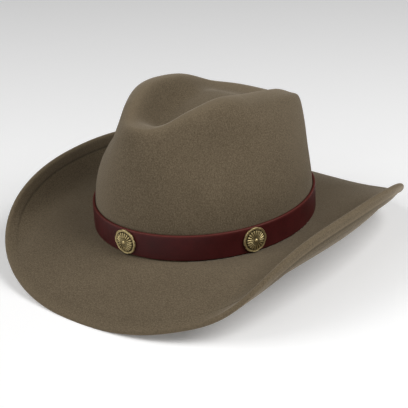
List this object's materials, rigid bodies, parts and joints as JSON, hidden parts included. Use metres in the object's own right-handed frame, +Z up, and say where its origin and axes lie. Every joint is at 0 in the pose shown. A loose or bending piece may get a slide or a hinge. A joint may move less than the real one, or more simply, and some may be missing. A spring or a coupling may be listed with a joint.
{
  "type": "western hat",
  "caption": "Western hat of wool felt with a pinched crown, a brim rolled up at both sides, a leather band and three domed sunburst conchos",
  "frame": {"origin": "bottom centre of the whole hat's box: z = 0 is the surface the hat stands on", "axes": "+Z up; the wearer looks along -Y, so the hat's front is at -Y and the crown's length runs along Y; +X is the wearer's left"},
  "size_m": [0.2934, 0.3499, 0.1515],
  "materials": {
    "felt": "brushed wool felt, matt with a fine nap",
    "band_leather": "smooth dyed leather, satin",
    "antique_brass": "cast brass, darkened in the hollows and rubbed bright on the rays"
  },
  "bodies": {
    "root": {"felt_body": "felt", "leather_band": "band_leather", "concho_1": "antique_brass", "concho_2": "antique_brass", "concho_3": "antique_brass"}
  },
  "joints": []
}
